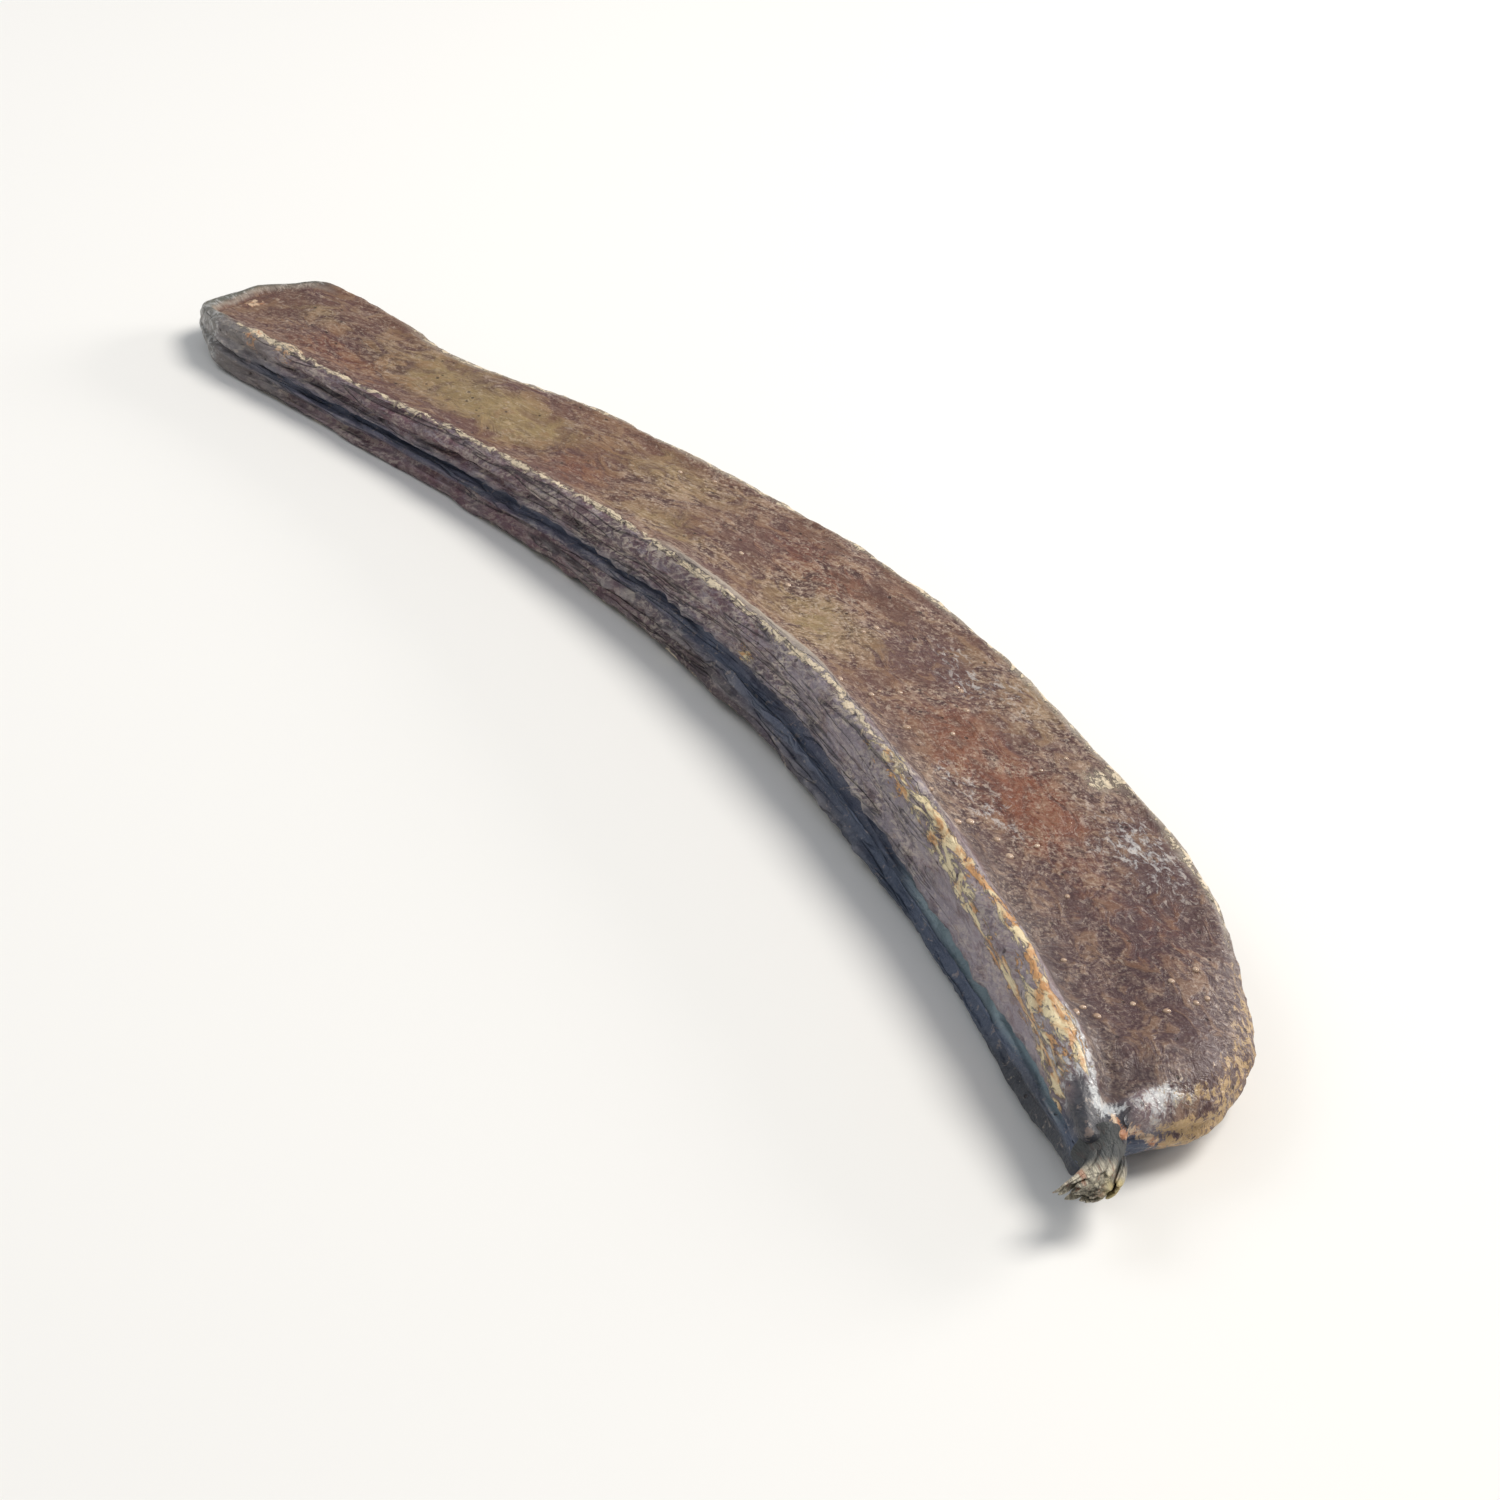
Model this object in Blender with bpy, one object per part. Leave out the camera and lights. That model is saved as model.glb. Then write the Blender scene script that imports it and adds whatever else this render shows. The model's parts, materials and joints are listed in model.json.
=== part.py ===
"""A dry carob pod lying on one broad face, with the torn stub of its stalk.

The husk is drawn flat first, in u along the pod, v across it and w through it. An outline runs up
the suture side and back down the dorsal side, a lipped and grooved edge is swept round it, and the
two sunken broad faces are stretched inside. The flat pod is then bent, twisted and arched into place.
"""

import math

import bmesh
import bpy
import numpy as np
from mathutils import Matrix, Vector

MM = 0.001

# Whole pod. Every list runs from the far tip to the stem end in even steps along the pod.
LENGTH = 183.0
HEADING_DEG = (21.3, 14.0, 1.6, -11.0, -20.0)
TWIST_DEG = (-2.0, -0.8, 1.7, 2.7, 1.2, 3.0)
ARCH = (-0.7, -0.7, 0.4, 1.4, 0.6, -1.2)
THICKNESS = (6.2, 7.8, 10.0, 12.0, 11.8, 10.8)
SUTURE_HALF_WIDTH = (9.6, 10.8, 11.6, 12.5, 13.1, 13.7, 13.6)
DORSAL_HALF_WIDTH = (9.8, 10.5, 7.2, 10.2, 11.5, 12.0, 12.6, 12.7, 12.2, 12.3, 13.0, 13.6, 15.8)

# Rounded far tip, long dorsal shoulder at the stem end, and the neck that the stalk grows from
TIP_LENGTH = 8.0
TIP_SIDE = -4.0
SHOULDER_LENGTH = 51.0
SHOULDER_SQUARENESS = 2.75
NECK_SIDE = -12.0
NECK_HALF_WIDTH = 2.2
NECK_LENGTH = 1.5
NECK_HALF_THICKNESS = 2.7
TIP_THINNING_LENGTH = 7.0
NECK_THINNING_LENGTH = 11.0
TIP_THICKNESS_SHARE = 0.62
SUTURE_SHOULDER_POWER = 6
NECK_OVERRUN = 3.0
STEM_POINT_LENGTH = 1.5

# Rows of points along the pod
TIP_ROWS = 7
BODY_ROWS = 44
SHOULDER_ROWS = 20
NECK_ROWS = 2
ROWS = TIP_ROWS + BODY_ROWS + SHOULDER_ROWS + NECK_ROWS
FACE_COLUMNS = 5

# Edges from the middle groove out to the broad face: inset from the outline, share of half thickness.
# The suture's groove, its seam, sinks below the middle towards the stem end.
SUTURE_EDGE = (
    (1.8, 0.00), (1.3, 0.07), (0.5, 0.13), (0.1, 0.20), (0.3, 0.32), (0.7, 0.44),
    (0.4, 0.58), (0.0, 0.74), (0.3, 0.90), (1.2, 1.00), (2.4, 0.91), (3.8, 0.77),
)
DORSAL_EDGE = (
    (1.3, 0.00), (0.8, 0.08), (0.2, 0.17), (0.0, 0.28), (0.3, 0.40), (0.3, 0.50),
    (0.1, 0.60), (0.2, 0.70), (0.6, 0.79), (1.4, 0.85), (2.6, 0.86), (4.2, 0.84),
)
SHOULDER_EDGE = (
    (0.8, 0.00), (0.5, 0.07), (0.1, 0.14), (0.0, 0.22), (0.3, 0.31), (0.7, 0.40),
    (1.2, 0.48), (1.9, 0.56), (2.8, 0.64), (3.8, 0.71), (5.0, 0.78), (6.4, 0.84),
)
SHOULDER_EDGE_START = 156.0
SHOULDER_EDGE_BLEND = 16.0
SEAM_DROP = (0.2, 0.5, 0.5, 0.6, 1.7, 2.6, 0.3)
TIP_GROOVE_FADE_LENGTH = 9.0
TIP_GROOVE_SHARE = 0.25
FULL_EDGE_THICKNESS = 4.0
FULL_EDGE_WIDTH = 7.5
LEAST_ROOM = 2.2
EDGE_BLEND_WIDTH = 6.0

# Slow unevenness: of the outline on each side, and of the rims' inset and height
DORSAL_WAVE = 0.25
SUTURE_WAVE = 0.15
DORSAL_WAVE_TURNS = 6.3
SUTURE_WAVE_TURNS = 3.2
RIM_INSET_WAVE = 0.22
RIM_INSET_TURNS = 11.0
RIM_HEIGHT_WAVE_SHARE = 0.04
RIM_HEIGHT_TURNS = 8.0

# Broad faces: sunk most beside the suture rim, with a low bulge over each seed
DISH_DEPTH = (0.8, 0.9, 0.8, 0.8, 1.0, 1.3, 1.7)
DISH_SKEW = 0.6
FULL_DISH_WIDTH = 16.0
SEED_COUNT = 12
FIRST_SEED = 0.09
LAST_SEED = 0.90
SEED_BULGE = 0.9
SEED_LENGTH = 5.2
SEED_WIDTH = 6.5
SEED_SLANT = 0.18
SEED_SIDESTEP = 1.2

# How the pod leans on the surface under it, and how deep its flat resting spots are
LEAN_DEG = -1.74
NOSE_DOWN_DEG = -0.49
SETTLED_DEPTH = 0.26

# Torn stalk stub
STALK_GAP = 0.3
STALK_LENGTH = 4.6
STALK_SIDES = 22
STALK_RINGS = 9
STALK_HALF_WIDTHS = (2.2, 2.0, 1.9, 2.0, 2.4)
STALK_HALF_THICKNESSES = (2.4, 2.0, 1.7, 1.5, 1.5)
STALK_FIBRES = 7
STALK_FIBRE_DEPTH = 0.28
STALK_TORN_DEPTH = 0.8
STALK_DROOP_DEG = 34.0
STALK_HOLLOW_DEPTH = 0.3

HUSK_ROUGHNESS = 0.55
STALK_ROUGHNESS = 0.8
CREASE_DEG = 50.0

HUSK_COLOUR = (0.165, 0.090, 0.062, 1.0)
STALK_COLOUR = (0.230, 0.190, 0.125, 1.0)


def smooth(values, share):
    """Read a smooth curve through evenly spaced values, at a share of its length."""
    reach = min(max(share, 0.0), 1.0) * (len(values) - 1)
    index = min(int(reach), len(values) - 2)
    part = reach - index
    here, after = values[index], values[index + 1]
    before = values[index - 1] if index > 0 else 2 * here - after
    beyond = values[index + 2] if index + 2 < len(values) else 2 * after - here
    bend = 2 * before - 5 * here + 4 * after - beyond
    twist = 3 * here - before - 3 * after + beyond
    return here + 0.5 * ((after - before) * part + bend * part ** 2 + twist * part ** 3)


def wobble(share, turns, phase):
    """A small uneven wave along the pod, between about -1 and 1."""
    angle = math.tau * turns * share + phase
    return 0.6 * math.sin(angle) + 0.4 * math.sin(1.73 * angle + 1.3)


def centreline():
    """Integrate the heading into points of the bent centreline, in u, x and y."""
    steps = np.linspace(0.0, 1.0, 241)
    headings = np.radians([smooth(HEADING_DEG, step) for step in steps])
    stride = LENGTH / (len(steps) - 1)
    x = np.concatenate([[0.0], np.cumsum(np.cos(headings[:-1]) * stride)])
    y = np.concatenate([[0.0], np.cumsum(np.sin(headings[:-1]) * stride)])
    return steps * LENGTH, x, y


CENTRE_U, CENTRE_X, CENTRE_Y = centreline()


def place(u, v, w):
    """Bend, twist and arch a point of the flat pod into its real place."""
    share = u / LENGTH
    heading = math.radians(smooth(HEADING_DEG, share))
    twist = math.radians(smooth(TWIST_DEG, share))
    over = u - min(max(u, 0.0), LENGTH)
    along = Vector((math.cos(heading), math.sin(heading), 0.0))
    level = Vector((-along.y, along.x, 0.0))
    up = Vector((0.0, 0.0, 1.0))
    across = level * math.cos(twist) - up * math.sin(twist)
    through = up * math.cos(twist) + level * math.sin(twist)
    middle = Vector((np.interp(u, CENTRE_U, CENTRE_X), np.interp(u, CENTRE_U, CENTRE_Y), smooth(ARCH, share)))
    return (middle + along * over + across * v + through * w) * MM


def half_width(side, u):
    """Half width of the pod on one side of its centreline, waved by the seeds on the dorsal side."""
    share = u / LENGTH
    if side < 0:
        return smooth(SUTURE_HALF_WIDTH, share) + SUTURE_WAVE * wobble(share, SUTURE_WAVE_TURNS, 0.4)
    return smooth(DORSAL_HALF_WIDTH, share) + DORSAL_WAVE * wobble(share, DORSAL_WAVE_TURNS, 2.1)


def outline_row(side, row):
    """Outline point of one row on one side: -1 is the suture side and 1 the dorsal side."""
    shoulder_start = LENGTH - NECK_LENGTH - SHOULDER_LENGTH
    if row <= TIP_ROWS:
        angle = math.pi / 2 * row / TIP_ROWS
        u = TIP_LENGTH * (1 - math.cos(angle))
        return u, TIP_SIDE + (side * half_width(side, u) - TIP_SIDE) * math.sin(angle)
    row -= TIP_ROWS
    if row <= BODY_ROWS:
        u = TIP_LENGTH + (shoulder_start - TIP_LENGTH) * row / BODY_ROWS
        return u, side * half_width(side, u)
    row -= BODY_ROWS
    neck = NECK_SIDE + side * NECK_HALF_WIDTH
    if row <= SHOULDER_ROWS:
        share = row / SHOULDER_ROWS
        if side < 0:
            u = shoulder_start + SHOULDER_LENGTH * share
            return u, -half_width(side, u) + (neck + half_width(side, u)) * share ** SUTURE_SHOULDER_POWER
        power = 2 / SHOULDER_SQUARENESS
        u = shoulder_start + SHOULDER_LENGTH * math.sin(math.pi / 2 * share) ** power
        return u, neck + (half_width(side, u) - neck) * math.cos(math.pi / 2 * share) ** power
    row -= SHOULDER_ROWS
    return LENGTH - NECK_LENGTH + (NECK_LENGTH + NECK_OVERRUN) * row / NECK_ROWS, neck


def outline():
    """Closed outline of the flat pod: far tip, suture side, stem end, dorsal side."""
    suture = [outline_row(-1, row) for row in range(1, ROWS + 1)]
    dorsal = [outline_row(1, row) for row in range(ROWS, 0, -1)]
    tip = (0.0, TIP_SIDE)
    stem = (suture[-1][0] + STEM_POINT_LENGTH, NECK_SIDE)
    return [tip] + suture + [stem] + dorsal


def inward(points, index):
    """Unit direction pointing into the pod from one point of its outline."""
    before = points[index - 1]
    after = points[(index + 1) % len(points)]
    du, dv = after[0] - before[0], after[1] - before[1]
    size = math.hypot(du, dv)
    return -dv / size, du / size


def half_thickness(u, v):
    """Half thickness at the rims, thinning towards the far tip and towards the neck."""
    full = smooth(THICKNESS, u / LENGTH) / 2
    from_tip = min(max(u / TIP_THINNING_LENGTH, 0.0), 1.0)
    full *= TIP_THICKNESS_SHARE + (1 - TIP_THICKNESS_SHARE) * math.sin(math.pi / 2 * from_tip)
    from_neck = math.hypot(max(LENGTH - u, 0.0), v - NECK_SIDE) - NECK_HALF_WIDTH
    from_neck = min(max(from_neck / NECK_THINNING_LENGTH, 0.0), 1.0)
    return NECK_HALF_THICKNESS + (full - NECK_HALF_THICKNESS) * math.sin(math.pi / 2 * from_neck)


def suture_share(points, index):
    """How much of an outline point belongs to the suture edge: all of that side and of the neck."""
    u, v = points[index]
    if u < LENGTH / 2:
        return min(max(0.5 - (v - TIP_SIDE) / EDGE_BLEND_WIDTH, 0.0), 1.0)
    return 1.0 if index <= ROWS + NECK_ROWS + 2 else 0.0


def room(points, index):
    """Half of the distance from one outline point to its partner on the other side."""
    partner = points[-index % len(points)]
    return max(math.dist(points[index], partner) / 2, LEAST_ROOM)


def groove_share(u):
    """Share of the middle groove's depth, which fades out over the smooth far tip."""
    return min(1.0, TIP_GROOVE_SHARE + (1 - TIP_GROOVE_SHARE) * u / TIP_GROOVE_FADE_LENGTH)


def edge_profile(u, mix):
    """Insets and heights round half an edge, mixed from the suture, dorsal and shoulder edges."""
    rounding = min(max((u - SHOULDER_EDGE_START) / SHOULDER_EDGE_BLEND, 0.0), 1.0)
    profile = []
    for suture, dorsal, shoulder in zip(SUTURE_EDGE, DORSAL_EDGE, SHOULDER_EDGE):
        side = [a + (b - a) * rounding for a, b in zip(dorsal, shoulder)]
        profile.append([b + (a - b) * mix for a, b in zip(suture, side)])
    return profile


def edge_section(points, index):
    """Points round the edge at one outline point, from the upper face over the rims to the lower one."""
    u, v = points[index]
    in_u, in_v = inward(points, index)
    share = u / LENGTH
    mix = suture_share(points, index)
    half = half_thickness(u, v)
    drop = smooth(SEAM_DROP, share) * mix
    size = min(1.0, half / FULL_EDGE_THICKNESS, room(points, index) / FULL_EDGE_WIDTH)
    upper = []
    for inset, height in edge_profile(u, mix):
        groove = groove_share(u) if height < 0.4 else 1.0
        inward_by = inset * size * groove
        inward_by += size * RIM_INSET_WAVE * wobble(share, RIM_INSET_TURNS, 5.0 * height)
        height_now = height * half * (1 + RIM_HEIGHT_WAVE_SHARE * wobble(share, RIM_HEIGHT_TURNS, inset))
        upper.append((u + in_u * inward_by, v + in_v * inward_by, height_now))
    lower = [(a, b, -height) for a, b, height in upper[1:]]
    section = upper[::-1] + lower
    return [(a, b, height - drop * (1 - (height / half) ** 2) ** 2) for a, b, height in section]


def seed_bulge(u, v):
    """Height of the low bulges that the seeds make in the broad faces."""
    pitch = LENGTH * (LAST_SEED - FIRST_SEED) / (SEED_COUNT - 1)
    total = 0.0
    for seed in range(SEED_COUNT):
        offset = u + SEED_SLANT * v - FIRST_SEED * LENGTH - seed * pitch
        side = v - SEED_SIDESTEP * math.sin(2.4 * seed)
        strength = 0.7 + 0.3 * math.sin(4.1 * seed + 0.7)
        total += strength * math.exp(-(offset / SEED_LENGTH) ** 2 - (side / SEED_WIDTH) ** 2)
    return SEED_BULGE * total


def face_row(suture_point, dorsal_point, side):
    """Points across one broad face between two ledge points; side is 1 above and -1 below."""
    row = []
    strength = min(1.0, math.dist(suture_point[:2], dorsal_point[:2]) / FULL_DISH_WIDTH)
    depth = smooth(DISH_DEPTH, suture_point[0] / LENGTH)
    for column in range(1, FACE_COLUMNS + 1):
        share = column / (FACE_COLUMNS + 1)
        u, v, w = (a + (b - a) * share for a, b in zip(suture_point, dorsal_point))
        relief = seed_bulge(u, v) - depth * math.sin(math.pi * share ** DISH_SKEW)
        row.append((u, v, w + side * relief * strength))
    return row


def husk_mesh():
    """Build the closed husk: the swept edge, then an upper and a lower face stretched inside it."""
    mesh = bmesh.new()
    points = outline()
    sections = [edge_section(points, index) for index in range(len(points))]
    rings = [[mesh.verts.new(place(*point)) for point in section] for section in sections]
    count = len(points)
    for index in range(count):
        here, after = rings[index], rings[(index + 1) % count]
        for j in range(len(here) - 1):
            mesh.faces.new((here[j], here[j + 1], after[j + 1], after[j]))
    stem = ROWS + 1
    for side, end in ((1, 0), (-1, -1)):
        rows = []
        for row in range(1, stem):
            suture, dorsal = row, count - row
            across = face_row(sections[suture][end], sections[dorsal][end], side)
            inner = [mesh.verts.new(place(*point)) for point in across]
            rows.append([rings[suture][end]] + inner + [rings[dorsal][end]])
        for here, after in zip(rows, rows[1:]):
            for j in range(len(here) - 1):
                mesh.faces.new((here[j], here[j + 1], after[j + 1], after[j]))
        for point, row in ((rings[0][end], rows[0]), (rings[stem][end], rows[-1])):
            for j in range(len(row) - 1):
                mesh.faces.new((point, row[j], row[j + 1]))
    bmesh.ops.recalc_face_normals(mesh, faces=mesh.faces)
    return mesh


def neck_frame():
    """Middle of the neck's cut end, the way it points, and its directions across and through."""
    middle = place(LENGTH, NECK_SIDE, 0.0)
    across = (place(LENGTH, NECK_SIDE + 1.0, 0.0) - middle).normalized()
    through = (place(LENGTH, NECK_SIDE, 1.0) - middle).normalized()
    return middle, across.cross(through), across, through


def cut_neck(mesh):
    """Cut the neck off square, which leaves the flat seat of the stalk."""
    middle, along, _, _ = neck_frame()
    geometry = mesh.verts[:] + mesh.edges[:] + mesh.faces[:]
    cut = bmesh.ops.bisect_plane(mesh, geom=geometry, plane_co=middle, plane_no=along, clear_outer=True)
    edges = [item for item in cut["geom_cut"] if isinstance(item, bmesh.types.BMEdge)]
    bmesh.ops.edgeloop_fill(mesh, edges=edges)
    bmesh.ops.triangulate(mesh, faces=mesh.faces)
    bmesh.ops.recalc_face_normals(mesh, faces=mesh.faces)


def stalk_mesh():
    """Build the stalk stub: fibrous rings that narrow, then fan out to a torn end."""
    mesh = bmesh.new()
    middle, along, across, through = neck_frame()
    droop = math.radians(STALK_DROOP_DEG)
    rings = []
    for ring in range(STALK_RINGS):
        share = ring / (STALK_RINGS - 1)
        reach = STALK_GAP + STALK_LENGTH * share
        sag = STALK_LENGTH * math.tan(droop) * share ** 2
        wide = smooth(STALK_HALF_WIDTHS, share)
        thick = smooth(STALK_HALF_THICKNESSES, share)
        points = []
        for side in range(STALK_SIDES):
            angle = math.tau * side / STALK_SIDES
            fibre = 1 + STALK_FIBRE_DEPTH / wide * share * math.cos(STALK_FIBRES * angle + 0.8)
            torn = STALK_TORN_DEPTH * share ** 4 * math.sin(3.0 * angle + 0.6) * math.cos(5.0 * angle)
            point = middle + (along * (reach + torn) - across * sag) * MM
            point += across * math.cos(angle) * wide * fibre * MM
            point += through * math.sin(angle) * thick * fibre * MM
            points.append(mesh.verts.new(point))
        rings.append(points)
    for here, after in zip(rings, rings[1:]):
        for side in range(STALK_SIDES):
            following = (side + 1) % STALK_SIDES
            mesh.faces.new((here[side], here[following], after[following], after[side]))
    mesh.faces.new(rings[0])
    centre = sum((vert.co for vert in rings[-2]), Vector()) / STALK_SIDES
    hollow = mesh.verts.new(centre + along * STALK_HOLLOW_DEPTH * MM)
    for side in range(STALK_SIDES):
        mesh.faces.new((rings[-1][side], rings[-1][(side + 1) % STALK_SIDES], hollow))
    bmesh.ops.triangulate(mesh, faces=mesh.faces)
    bmesh.ops.recalc_face_normals(mesh, faces=mesh.faces)
    return mesh


def settle(meshes):
    """Stand the pod on z = 0 over the middle of its plan, and flatten the spots where it rests."""
    lean = Matrix.Rotation(math.radians(LEAN_DEG), 3, "X")
    lean = lean @ Matrix.Rotation(math.radians(NOSE_DOWN_DEG), 3, "Y")
    corners = [vert.co for mesh in meshes for vert in mesh.verts]
    for corner in corners:
        corner.rotate(lean)
    low = Vector(min(corner[axis] for corner in corners) for axis in range(3))
    high = Vector(max(corner[axis] for corner in corners) for axis in range(3))
    shift = Vector((-(low.x + high.x) / 2, -(low.y + high.y) / 2, -low.z - SETTLED_DEPTH * MM))
    for corner in corners:
        corner += shift
        corner.z = max(corner.z, 0.0)


def material(name, colour, roughness):
    """A plain surface colour."""
    made = bpy.data.materials.new(name)
    made.use_nodes = True
    shader = made.node_tree.nodes["Principled BSDF"]
    shader.inputs["Base Color"].default_value = colour
    shader.inputs["Roughness"].default_value = roughness
    made.diffuse_color = colour
    return made


def add_part(name, mesh, surface, collection):
    """Turn a finished mesh into one named object with smooth faces and sharp creases."""
    data = bpy.data.meshes.new(name)
    mesh.to_mesh(data)
    mesh.free()
    data.materials.append(surface)
    data.shade_smooth()
    data.set_sharp_from_angle(angle=math.radians(CREASE_DEG))
    part = bpy.data.objects.new(name, data)
    collection.objects.link(part)
    return part


def build():
    for item in list(bpy.data.objects):
        bpy.data.objects.remove(item, do_unlink=True)
    collection = bpy.data.collections.new("carob_pod")
    bpy.context.scene.collection.children.link(collection)
    husk = husk_mesh()
    cut_neck(husk)
    stub = stalk_mesh()
    settle([husk, stub])
    add_part("pod", husk, material("dry_husk", HUSK_COLOUR, HUSK_ROUGHNESS), collection)
    add_part("stalk", stub, material("torn_stalk", STALK_COLOUR, STALK_ROUGHNESS), collection)


build()
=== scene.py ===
import json
import math
import random

import bpy
import numpy as np
from mathutils import Matrix, Vector, noise

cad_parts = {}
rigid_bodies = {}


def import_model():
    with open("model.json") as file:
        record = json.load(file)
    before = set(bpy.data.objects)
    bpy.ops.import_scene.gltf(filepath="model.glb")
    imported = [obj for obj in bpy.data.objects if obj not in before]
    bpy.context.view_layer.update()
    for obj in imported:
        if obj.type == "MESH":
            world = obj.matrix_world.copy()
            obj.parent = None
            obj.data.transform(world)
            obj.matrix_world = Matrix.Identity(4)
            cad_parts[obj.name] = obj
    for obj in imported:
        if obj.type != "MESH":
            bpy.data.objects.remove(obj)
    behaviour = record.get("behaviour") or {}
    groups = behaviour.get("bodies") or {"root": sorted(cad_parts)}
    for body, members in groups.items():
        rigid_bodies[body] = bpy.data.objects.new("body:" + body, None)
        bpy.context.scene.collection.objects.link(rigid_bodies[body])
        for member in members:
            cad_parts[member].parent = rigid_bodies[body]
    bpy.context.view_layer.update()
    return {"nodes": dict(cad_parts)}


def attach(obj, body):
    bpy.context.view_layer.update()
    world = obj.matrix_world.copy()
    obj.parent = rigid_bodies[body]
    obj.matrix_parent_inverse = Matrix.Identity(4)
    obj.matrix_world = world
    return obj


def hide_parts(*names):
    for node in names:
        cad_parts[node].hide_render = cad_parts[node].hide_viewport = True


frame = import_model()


# HUSK. The dry wall of the pod, grown as one piece: leathery brown skin that shrank on to the pulp
# and the seeds as it ripened. Its two broad faces sink between thick margins, and the suture margin
# carries lengthwise fibres on two lips, with the seam between them, where blue-grey shade is painted.

MM = 0.001

# The pod's bend, twist and arch from the far tip to the stem end, how far the seam lies below the
# middle of its wall, how the pod leans as it lies, where its far end is, how far aside its stalk
# leaves it, and how many steps its middle line is worked out in; lengths are in mm
POD_LENGTH = 183.0
HEADING_DEG = (21.3, 14.0, 1.6, -11.0, -20.0)
TWIST_DEG = (-2.0, -0.8, 1.7, 2.7, 1.2, 3.0)
ARCH = (-0.7, -0.7, 0.4, 1.4, 0.6, -1.2)
SEAM_DROP = (0.2, 0.5, 0.5, 0.6, 1.7, 2.6, 0.3)
LEAN_DEG = -1.74
NOSE_DOWN_DEG = -0.49
FAR_END = (-89.471, -9.870, 3.604)
NECK_ACROSS = -12.0
LINE_STEPS = 240


def linear(code):
    """Turn an sRGB hex colour into the linear values that the shaders take."""
    parts = [int(code[place:place + 2], 16) / 255 for place in (1, 3, 5)]
    return tuple(p / 12.92 if p <= 0.04045 else ((p + 0.055) / 1.055) ** 2.4 for p in parts) + (1.0,)


def node(kind, out, links, **settings):
    """Add a node to the material in hand and give one output; links hold values or other outputs."""
    made = tree.nodes.new(kind)
    for name, value in settings.items():
        setattr(made, name, value)
    for socket, value in links.items():
        if isinstance(value, bpy.types.NodeSocket):
            tree.links.new(value, made.inputs[socket])
        else:
            made.inputs[socket].default_value = value
    return made.outputs[out]


def smooth(values, share):
    """Read a smooth curve through evenly spaced values, at a share of its length."""
    reach = min(max(share, 0.0), 1.0) * (len(values) - 1)
    index = min(int(reach), len(values) - 2)
    part = reach - index
    here, after = values[index], values[index + 1]
    before = values[index - 1] if index > 0 else 2 * here - after
    beyond = values[index + 2] if index + 2 < len(values) else 2 * after - here
    squared = 2 * before - 5 * here + 4 * after - beyond
    cubed = 3 * here - before - 3 * after + beyond
    return here + 0.5 * ((after - before) * part + squared * part ** 2 + cubed * part ** 3)


def rise(value, low, high):
    """Go smoothly from 0 at low to 1 at high; low may be the larger of the two."""
    share = np.clip((value - low) / (high - low), 0.0, 1.0)
    return share * share * (3 - 2 * share)


def near(value, middle, width):
    """Give 1 where a value is at its middle, falling off smoothly on both sides of it."""
    return np.exp(-((value - middle) / width) ** 2)


def grain(points, scale, octaves=3, shift=0.0):
    """Fractal noise, about -1 to 1, with one feature size in mm for each direction."""
    scaled = np.asarray(points) / np.asarray(scale) + shift
    return np.array([noise.fractal(Vector(p), 0.8, 2.0, octaves) for p in scaled])


# Middle line of the pod, from its far end: distance along it, and heading, twist and arch there
steps = np.linspace(0.0, 1.0, LINE_STEPS + 1)
line_along = steps * POD_LENGTH
line_heading = np.radians([smooth(HEADING_DEG, step) for step in steps])
line_twist = np.radians([smooth(TWIST_DEG, step) for step in steps])
line_arch = np.array([smooth(ARCH, step) for step in steps])
line_drop = np.array([smooth(SEAM_DROP, step) for step in steps])
stride = POD_LENGTH / LINE_STEPS
line_x = np.concatenate([[0.0], np.cumsum(np.cos(line_heading[:-1]) * stride)])
line_y = np.concatenate([[0.0], np.cumsum(np.sin(line_heading[:-1]) * stride)])
lean = Matrix.Rotation(math.radians(LEAN_DEG), 3, "X")
lean = lean @ Matrix.Rotation(math.radians(NOSE_DOWN_DEG), 3, "Y")


def straighten(places):
    """Undo the pod's bend: points in mm become mm along, across and through it."""
    level = (places - np.array(FAR_END)) @ np.array(lean) + np.array([0.0, 0.0, line_arch[0]])
    away = (level[:, None, 0] - line_x) ** 2 + (level[:, None, 1] - line_y) ** 2
    reach = line_along[away.argmin(axis=1)].astype(float)
    for _ in range(4):
        inside = np.clip(reach, 0.0, POD_LENGTH)
        heading = np.interp(inside, line_along, line_heading)
        off_x = level[:, 0] - np.interp(inside, line_along, line_x) - np.cos(heading) * (reach - inside)
        off_y = level[:, 1] - np.interp(inside, line_along, line_y) - np.sin(heading) * (reach - inside)
        reach = reach + off_x * np.cos(heading) + off_y * np.sin(heading)
    twist = np.interp(inside, line_along, line_twist)
    side = off_y * np.cos(heading) - off_x * np.sin(heading)
    height = level[:, 2] - np.interp(inside, line_along, line_arch)
    across = side * np.cos(twist) - height * np.sin(twist)
    through = height * np.cos(twist) + side * np.sin(twist)
    return np.stack([reach, across, through], axis=1)


def bend(spots):
    """Put straightened points, in mm along, across and through, back into their real places."""
    inside = np.clip(spots[:, 0], 0.0, POD_LENGTH)
    heading = np.interp(inside, line_along, line_heading)
    twist = np.interp(inside, line_along, line_twist)
    side = spots[:, 1] * np.cos(twist) + spots[:, 2] * np.sin(twist)
    height = spots[:, 2] * np.cos(twist) - spots[:, 1] * np.sin(twist)
    over = spots[:, 0] - inside
    x = np.interp(inside, line_along, line_x) + np.cos(heading) * over - np.sin(heading) * side
    y = np.interp(inside, line_along, line_y) + np.sin(heading) * over + np.cos(heading) * side
    level = np.stack([x, y, height + np.interp(inside, line_along, line_arch) - line_arch[0]], axis=1)
    return level @ np.array(lean).T + np.array(FAR_END)


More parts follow.
